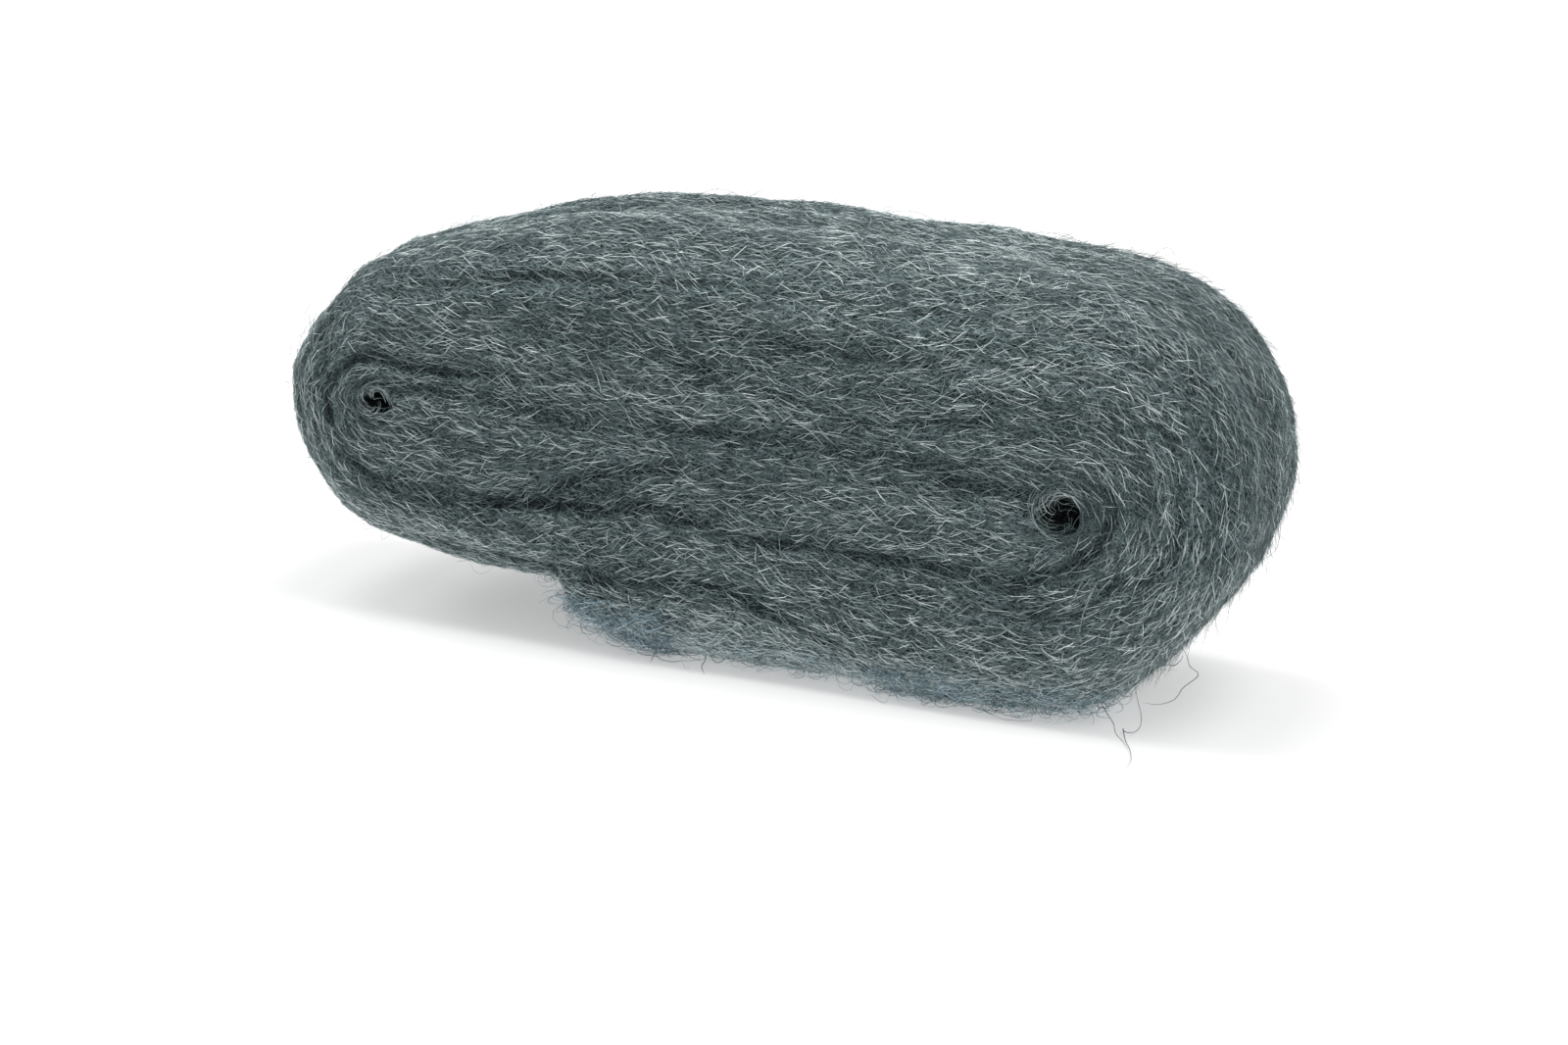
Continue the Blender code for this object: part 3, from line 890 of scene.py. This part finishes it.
def steel_shade_group(strands):
    """Turns a shade from 0 to 1 into the colour and the roughness of the steel."""
    group, given, result = new_group(
        "steel_shade",
        [("Shade", "NodeSocketFloat", 0.5), ("Blue", "NodeSocketFloat", 0.0)],
        [("Color", "NodeSocketColor"), ("Roughness", "NodeSocketFloat")],
    )
    ramp = add(group, "ValToRGB", inputs={0: given.outputs["Shade"]})
    stops = ramp.color_ramp.elements
    stops[0].color = (*strands.dark_steel, 1)
    stops[1].color = (*strands.bright_steel, 1)
    middle = stops.new(0.55)
    middle.color = (*strands.mid_steel, 1)
    colours = {0: given.outputs["Blue"], 6: ramp.outputs["Color"], 7: (*strands.blue_tint, 1)}
    tint = add(group, "Mix", {"data_type": "RGBA", "blend_type": "MULTIPLY"}, colours)
    group.links.new(tint.outputs[2], result.inputs["Color"])
    roughness = {"Value": given.outputs["Shade"], "To Min": 0.6, "To Max": 0.38}
    rough = add(group, "MapRange", inputs=roughness)
    group.links.new(rough.outputs[0], result.inputs["Roughness"])
    return group


def streaks_group():
    """Thin curly lines along the winding, tilted a little across it."""
    group, given, result = new_group(
        "streaks",
        [
            ("Run", "NodeSocketVector", (0, 0, 0)),
            ("Tilt", "NodeSocketFloat", 0.0),
            ("Length", "NodeSocketFloat", 0.004),
            ("Width", "NodeSocketFloat", 0.0003),
            ("Fineness", "NodeSocketFloat", 5.5),
        ],
        [("Value", "NodeSocketFloat")],
    )
    apart = add(group, "SeparateXYZ", inputs={0: given.outputs["Run"]})
    tilted = calc(group, "MULTIPLY", apart.outputs[0], given.outputs["Tilt"])
    across = calc(group, "ADD", apart.outputs[1], tilted)
    depth = calc(group, "ADD", apart.outputs[2], tilted)
    scaled = [
        calc(group, "DIVIDE", apart.outputs[0], given.outputs["Length"]),
        calc(group, "DIVIDE", across, given.outputs["Width"]),
        calc(group, "DIVIDE", depth, given.outputs["Width"]),
    ]
    spot = add(group, "CombineXYZ", inputs=dict(enumerate(scaled))).outputs[0]
    pattern = add(group, "TexNoise", Vector=spot, Scale=1.0, Detail=1.0, Distortion=0.3)
    off_line = calc(group, "MULTIPLY_ADD", pattern.outputs[0], 2.0, -1.0)
    off_line = calc(group, "ABSOLUTE", off_line)
    line = calc(group, "MULTIPLY", off_line, given.outputs["Fineness"])
    line = calc(group, "SUBTRACT", 1.0, line)
    line = calc(group, "MAXIMUM", line, 0.0)
    group.links.new(line, result.inputs["Value"])
    return group


def new_material(name):
    material = bpy.data.materials.new(name)
    material.use_nodes = True
    tree = material.node_tree
    return material, tree, tree.nodes["Principled BSDF"]


def add_steel(tree, shader, group, shade, blue, metallic):
    """Gives a surface the colour and the roughness of a shade of steel."""
    steel = add(tree, "Group", {"node_tree": group}, Shade=shade, Blue=blue)
    tree.links.new(steel.outputs["Color"], shader.inputs["Base Color"])
    tree.links.new(steel.outputs["Roughness"], shader.inputs["Roughness"])
    shader.inputs["Metallic"].default_value = metallic


def attribute(tree, name, output="Fac"):
    return add(tree, "Attribute", {"attribute_name": name}).outputs[output]


def body_material(groups):
    """The wool between the separate strands: dense streaks that follow the winding."""
    material, tree, shader = new_material("packed_wool")
    streaks = {"node_tree": groups["streaks"]}
    run = attribute(tree, "run", "Vector")
    mixed = 0.0
    for tilt, long, wide, strength in (
        (0.1, 3.2 * MM, 0.75 * MM, 1.0),
        (0.55, 3.0 * MM, 0.7 * MM, 0.8),
        (-0.5, 3.0 * MM, 0.7 * MM, 0.9),
        (-0.15, 2.6 * MM, 0.65 * MM, 0.65),
    ):
        layer = add(tree, "Group", streaks, Run=run, Tilt=tilt, Length=long, Width=wide)
        line = calc(tree, "MULTIPLY", layer.outputs[0], strength)
        mixed = calc(tree, "MAXIMUM", line, mixed)
    shade = calc(tree, "MULTIPLY_ADD", mixed, 0.95, -0.23)
    # The tone adds painted shade in the creases, round the eyes and on the right end, and the
    # painted highlight of the front edge.
    shade = calc(tree, "ADD", shade, attribute(tree, "tone"))
    add_steel(tree, shader, groups["steel_shade"], shade, attribute(tree, "fringe"), 0.8)
    bump = add(tree, "Bump", Height=mixed, Distance=0.8 * MM, Strength=1.0)
    tree.links.new(bump.outputs[0], shader.inputs["Normal"])
    return material


def strand_material(groups, name, blue):
    """Strands of steel: a strand's shade is its column of the map."""
    material, tree, shader = new_material(name)
    uv = add(tree, "UVMap", {"uv_map": UV_MAP}).outputs[0]
    apart = add(tree, "SeparateXYZ", inputs={0: uv})
    column = calc(tree, "MULTIPLY", apart.outputs[0], float(SHADES))
    column = calc(tree, "FLOOR", column)
    shade = calc(tree, "MULTIPLY_ADD", column, 1.0 / SHADES, 0.5 / SHADES)
    spot = add(tree, "CombineXYZ", inputs={0: column, 1: apart.outputs[1]}).outputs[0]
    # Painted glints and wear: lighter and darker dashes along each strand.
    wear_and_painted_glints = add(tree, "TexNoise", Vector=spot, Scale=5.0, Detail=1.0).outputs[0]
    shade = calc(tree, "MULTIPLY_ADD", wear_and_painted_glints, 0.7, calc(tree, "SUBTRACT", shade, 0.35))
    add_steel(tree, shader, groups["steel_shade"], shade, blue, 0.85)
    return material


def floor_material(studio):
    """A white floor that keeps the shadow, softened for what the camera and gloss see."""
    material, tree, shader = new_material("studio_floor")
    shader.inputs["Base Color"].default_value = (*studio.floor_colour, 1)
    shader.inputs["Roughness"].default_value = 0.9
    shader.inputs["Specular IOR Level"].default_value = 0.1
    rays = add(tree, "LightPath").outputs
    seen = calc(tree, "MAXIMUM", rays["Is Camera Ray"], rays["Is Glossy Ray"])
    seen = calc(tree, "MAXIMUM", seen, rays["Is Transmission Ray"])
    share_of_glow = calc(tree, "MULTIPLY", seen, studio.floor_glow)
    glow = add(tree, "Emission", Color=(1, 1, 1, 1), Strength=1.0)
    mix = add(tree, "MixShader", inputs={0: share_of_glow})
    tree.links.new(shader.outputs[0], mix.inputs[1])
    tree.links.new(glow.outputs[0], mix.inputs[2])
    tree.links.new(mix.outputs[0], tree.nodes["Material Output"].inputs["Surface"])
    return material


# What a step hands on to the steps after it.
made = {}


class StudioOperator(bpy.types.Operator):
    """Sets the camera, the light, the floor and the view."""

    bl_idname = "steel_wool.set_studio"
    bl_label = "Set up the studio"

    def execute(self, context):
        studio = context.scene.steel_wool_studio
        scene = context.scene
        data = bpy.data.cameras.new("photo_camera")
        data.lens = studio.focal_length
        data.sensor_width = 36
        data.clip_start = 0.01
        data.clip_end = 100
        camera = add_object("photo_camera", data)
        a, e = studio.azimuth, studio.elevation
        back = Vector((math.sin(a) * math.cos(e), -math.cos(a) * math.cos(e), math.sin(e)))
        camera.location = Vector(studio.target) + back * studio.distance
        aim(camera, -back)
        scene.camera = camera
        scene.view_settings.view_transform = "Standard"
        world = bpy.data.worlds.new("studio_world")
        world.use_nodes = True
        surround = world.node_tree.nodes["Background"]
        surround.inputs["Color"].default_value = (1, 1, 1, 1)
        surround.inputs["Strength"].default_value = studio.daylight
        scene.world = world
        for place in range(studio.lamps):
            lean = (place / (studio.lamps - 1) - 0.5) * studio.lamp_spread
            lamp = bpy.data.lights.new(f"lamp_{place + 1}", "SUN")
            lamp.angle = studio.lamp_spread / studio.lamps
            lamp.energy = studio.lamp_strength
            lamp_at = add_object(lamp.name, lamp)
            lamp_at.location = (math.sin(lean), 0, math.cos(lean))
            aim(lamp_at, -lamp_at.location)
        bm = bmesh.new()
        bmesh.ops.create_grid(bm, x_segments=1, y_segments=1, size=40)
        mesh = finished_mesh(bm, "floor")
        mesh.materials.append(floor_material(studio))
        floor = add_object("floor", mesh)
        return {"FINISHED"}


class BodyOperator(bpy.types.Operator):
    """Winds the sliver into the body of the roll."""

    bl_idname = "steel_wool.wind_body"
    bl_label = "Wind the body"

    def execute(self, context):
        winding = Winding(context.scene.steel_wool_winding)
        strands = context.scene.steel_wool_strands
        mesh, points, along, station, side, looks = wound_body(winding, strands)
        for name, values in looks.items():
            kind, key = ("FLOAT_VECTOR", "vector") if values.ndim == 2 else ("FLOAT", "value")
            layer = mesh.attributes.new(name, kind, "POINT")
            layer.data.foreach_set(key, values.astype(np.float32).ravel())
        lay_out_body(mesh, station, side, strands.stations)
        made["groups"] = {"streaks": streaks_group(), "steel_shade": steel_shade_group(strands)}
        body = finish_piece("wool_body", mesh, body_material(made["groups"]), points)
        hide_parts(BODY_NODE)
        made["surface"] = Surface(points, along, looks["tone"])
        made["winding"] = winding
        return {"FINISHED"}


class StrandsOperator(bpy.types.Operator):
    """Covers the body with strands that follow the winding, a piece to each side."""

    bl_idname = "steel_wool.lay_strands"
    bl_label = "Lay the strands"

    def execute(self, context):
        strands = context.scene.steel_wool_strands
        surface = made["surface"]
        rng = np.random.default_rng(strands.seed)
        material = strand_material(made["groups"], "steel_strand", 0.0)
        made["strand_material"] = material
        facing = surface.facing
        front, back = facing[:, 1] < -0.5, facing[:, 1] > 0.5
        over = ~front & ~back & (facing[:, 2] >= 0)
        under = ~front & ~back & (facing[:, 2] < 0)
        left = surface.centre[:, 0] < 0
        areas = (
            ("front_left", front & left, strands.front),
            ("front_right", front & ~left, strands.front),
            ("back", back, strands.back),
            ("over", over, strands.over),
            ("under", under, strands.under),
        )
        for name, wanted, count in areas:
            # Fewer strands where the tone is low, as in the painted shade of the creases.
            seeds = surface.scatter(rng, wanted * np.clip(1 + 3 * surface.tone, 0.4, 1), count)
            spacing = strands.strand_length / (SHORT - 1) * rng.uniform(0.6, 1.4, count)
            turns = (strands.stray, *COVER_TURNS)
            path, out, tone = trace(surface, rng, seeds, SHORT, spacing, turns)
            shade = strand_shades(rng, count, tone)
            lift = strands.lift * (rng.uniform(-0.6, 0.4, (count, SHORT)) + 0.7 * shade[:, None])
            lift[:, 0] = lift[:, -1] = -0.25 * MM
            path = path + out * lift[:, :, None]
            width = strands.strand_width * (0.7 + shade) * rng.uniform(0.8, 1.2, count)
            strand_piece("strands_" + name, path, width, shade, material, rng)
        return {"FINISHED"}


class LooseOperator(bpy.types.Operator):
    """Adds the loose strands that stand off the roll."""

    bl_idname = "steel_wool.add_loose_strands"
    bl_label = "Add loose strands"

    def execute(self, context):
        strands = context.scene.steel_wool_strands
        surface = made["surface"]
        rng = np.random.default_rng(strands.seed + 1)
        material = made["strand_material"]
        count = strands.loose
        outer = (np.abs(surface.facing[:, 1]) < 0.8) & (surface.facing[:, 2] > -0.3)
        seeds = surface.scatter(rng, 1.0 + 2.5 * outer, count)
        spacing = rng.uniform(5 * MM, 18 * MM, count) / (LONG - 1)
        path, out, tone = trace(surface, rng, seeds, LONG, spacing, LOOSE_TURNS)
        along = np.linspace(0, 1, LONG)
        height = rng.gamma(1.8, 0.75 * MM, count)
        rise = np.where(rng.random(count)[:, None] < 0.55, along**2, np.sin(along * math.pi))
        path = path + out * (rise * height[:, None] - 0.2 * MM)[:, :, None]
        path = soften(path)
        width = strands.strand_width * rng.uniform(0.6, 1.1, count)
        # Loose strands take the painted shade and light of where they start.
        shade = np.clip(rng.beta(2.0, 2.2, count) + tone, 0, BRIGHTEST)
        strand_piece("loose_strands", path, width, shade, material, rng)

        count = strands.halo
        upright = (np.abs(surface.facing[:, 1]) < 0.9) & (surface.centre[:, 2] > 6 * MM)
        at_right = 1 + 3 * (surface.centre[:, 0] > 50 * MM)
        seeds = surface.scatter(rng, at_right * upright * (surface.facing[:, 2] > -0.8), count)
        spacing = rng.uniform(3 * MM, 7.5 * MM, count) / (SHORT - 1)
        path, out, _ = trace(surface, rng, seeds, SHORT, spacing, HALO_TURNS)
        height = rng.gamma(2.4, 0.55 * MM, count)
        along = np.linspace(0, 1, SHORT)[None, :] ** rng.uniform(0.8, 2.0, (count, 1))
        path = path + out * (along * height[:, None] - 0.1 * MM)[:, :, None]
        width = strands.strand_width * rng.uniform(0.6, 1.0, count)
        shade = rng.beta(1.6, 2.8, count) + 0.45 * (rng.random(count) < 0.2)
        shade = np.clip(shade, 0, BRIGHTEST)
        strand_piece("halo_strands", path, width, shade, material, rng)

        count = strands.curls
        x, y, z = surface.centre.T / MM
        low_front = (y < -12) & (surface.facing[:, 1] < -0.3) & (z < np.where(x < 0, 12, 8))
        near_tail = np.abs(x + 28) < 16
        near_right = np.abs(x - 60) < 30
        wanted = low_front * (0.3 + 2.0 * near_tail + 1.2 * near_right)
        path = curls(surface, rng, surface.scatter(rng, wanted, count))
        width = strands.strand_width * rng.uniform(0.9, 1.4, count)
        shade = np.clip(rng.beta(2.0, 2.0, count) + 0.15, 0, BRIGHTEST)
        blue_material = strand_material(made["groups"], "fluff_strand", 1.0)
        strand_piece("curly_ends", path, width, shade, blue_material, rng)

        path = eye_crossings(made["winding"], rng, strands.across_eyes)
        width = strands.strand_width * rng.uniform(0.8, 1.4, len(path))
        shade = rng.uniform(0.3, 0.95, len(path))
        strand_piece("eye_strands", path, width, shade, material, rng)

        path = np.array([smooth_line(np.array(line) * MM, LONGEST) for line in TRAILING])
        width = np.full(len(path), 0.19 * MM)
        strand_piece("trailing_strands", path, width, np.full(len(path), 0.5), material, rng)
        return {"FINISHED"}


class SteelWoolPanel(bpy.types.Panel):
    """Lists the steps and the sizes of the steel wool roll."""

    bl_idname = "VIEW3D_PT_steel_wool"
    bl_label = "Steel wool roll"
    bl_space_type = "VIEW_3D"
    bl_region_type = "UI"
    bl_category = "Steel wool"

    def draw(self, context):
        for step in STEPS:
            self.layout.operator(step.bl_idname)
        for name in SETTINGS:
            settings = getattr(context.scene, name)
            box = self.layout.box()
            for key in settings.__annotations__:
                box.prop(settings, key)


SETTINGS = {
    "steel_wool_winding": SteelWoolWinding,
    "steel_wool_strands": SteelWoolStrands,
    "steel_wool_studio": SteelWoolStudio,
}
STEPS = (StudioOperator, BodyOperator, StrandsOperator, LooseOperator)


def register():
    for owner in (*SETTINGS.values(), *STEPS, SteelWoolPanel):
        bpy.utils.register_class(owner)
    for name, owner in SETTINGS.items():
        setattr(bpy.types.Scene, name, bpy.props.PointerProperty(type=owner))


def unregister():
    for name in SETTINGS:
        delattr(bpy.types.Scene, name)
    for owner in reversed((*SETTINGS.values(), *STEPS, SteelWoolPanel)):
        bpy.utils.unregister_class(owner)


def main():
    register()
    bpy.ops.steel_wool.set_studio()
    bpy.ops.steel_wool.wind_body()
    bpy.ops.steel_wool.lay_strands()
    bpy.ops.steel_wool.add_loose_strands()


if __name__ == "__main__":
    main()
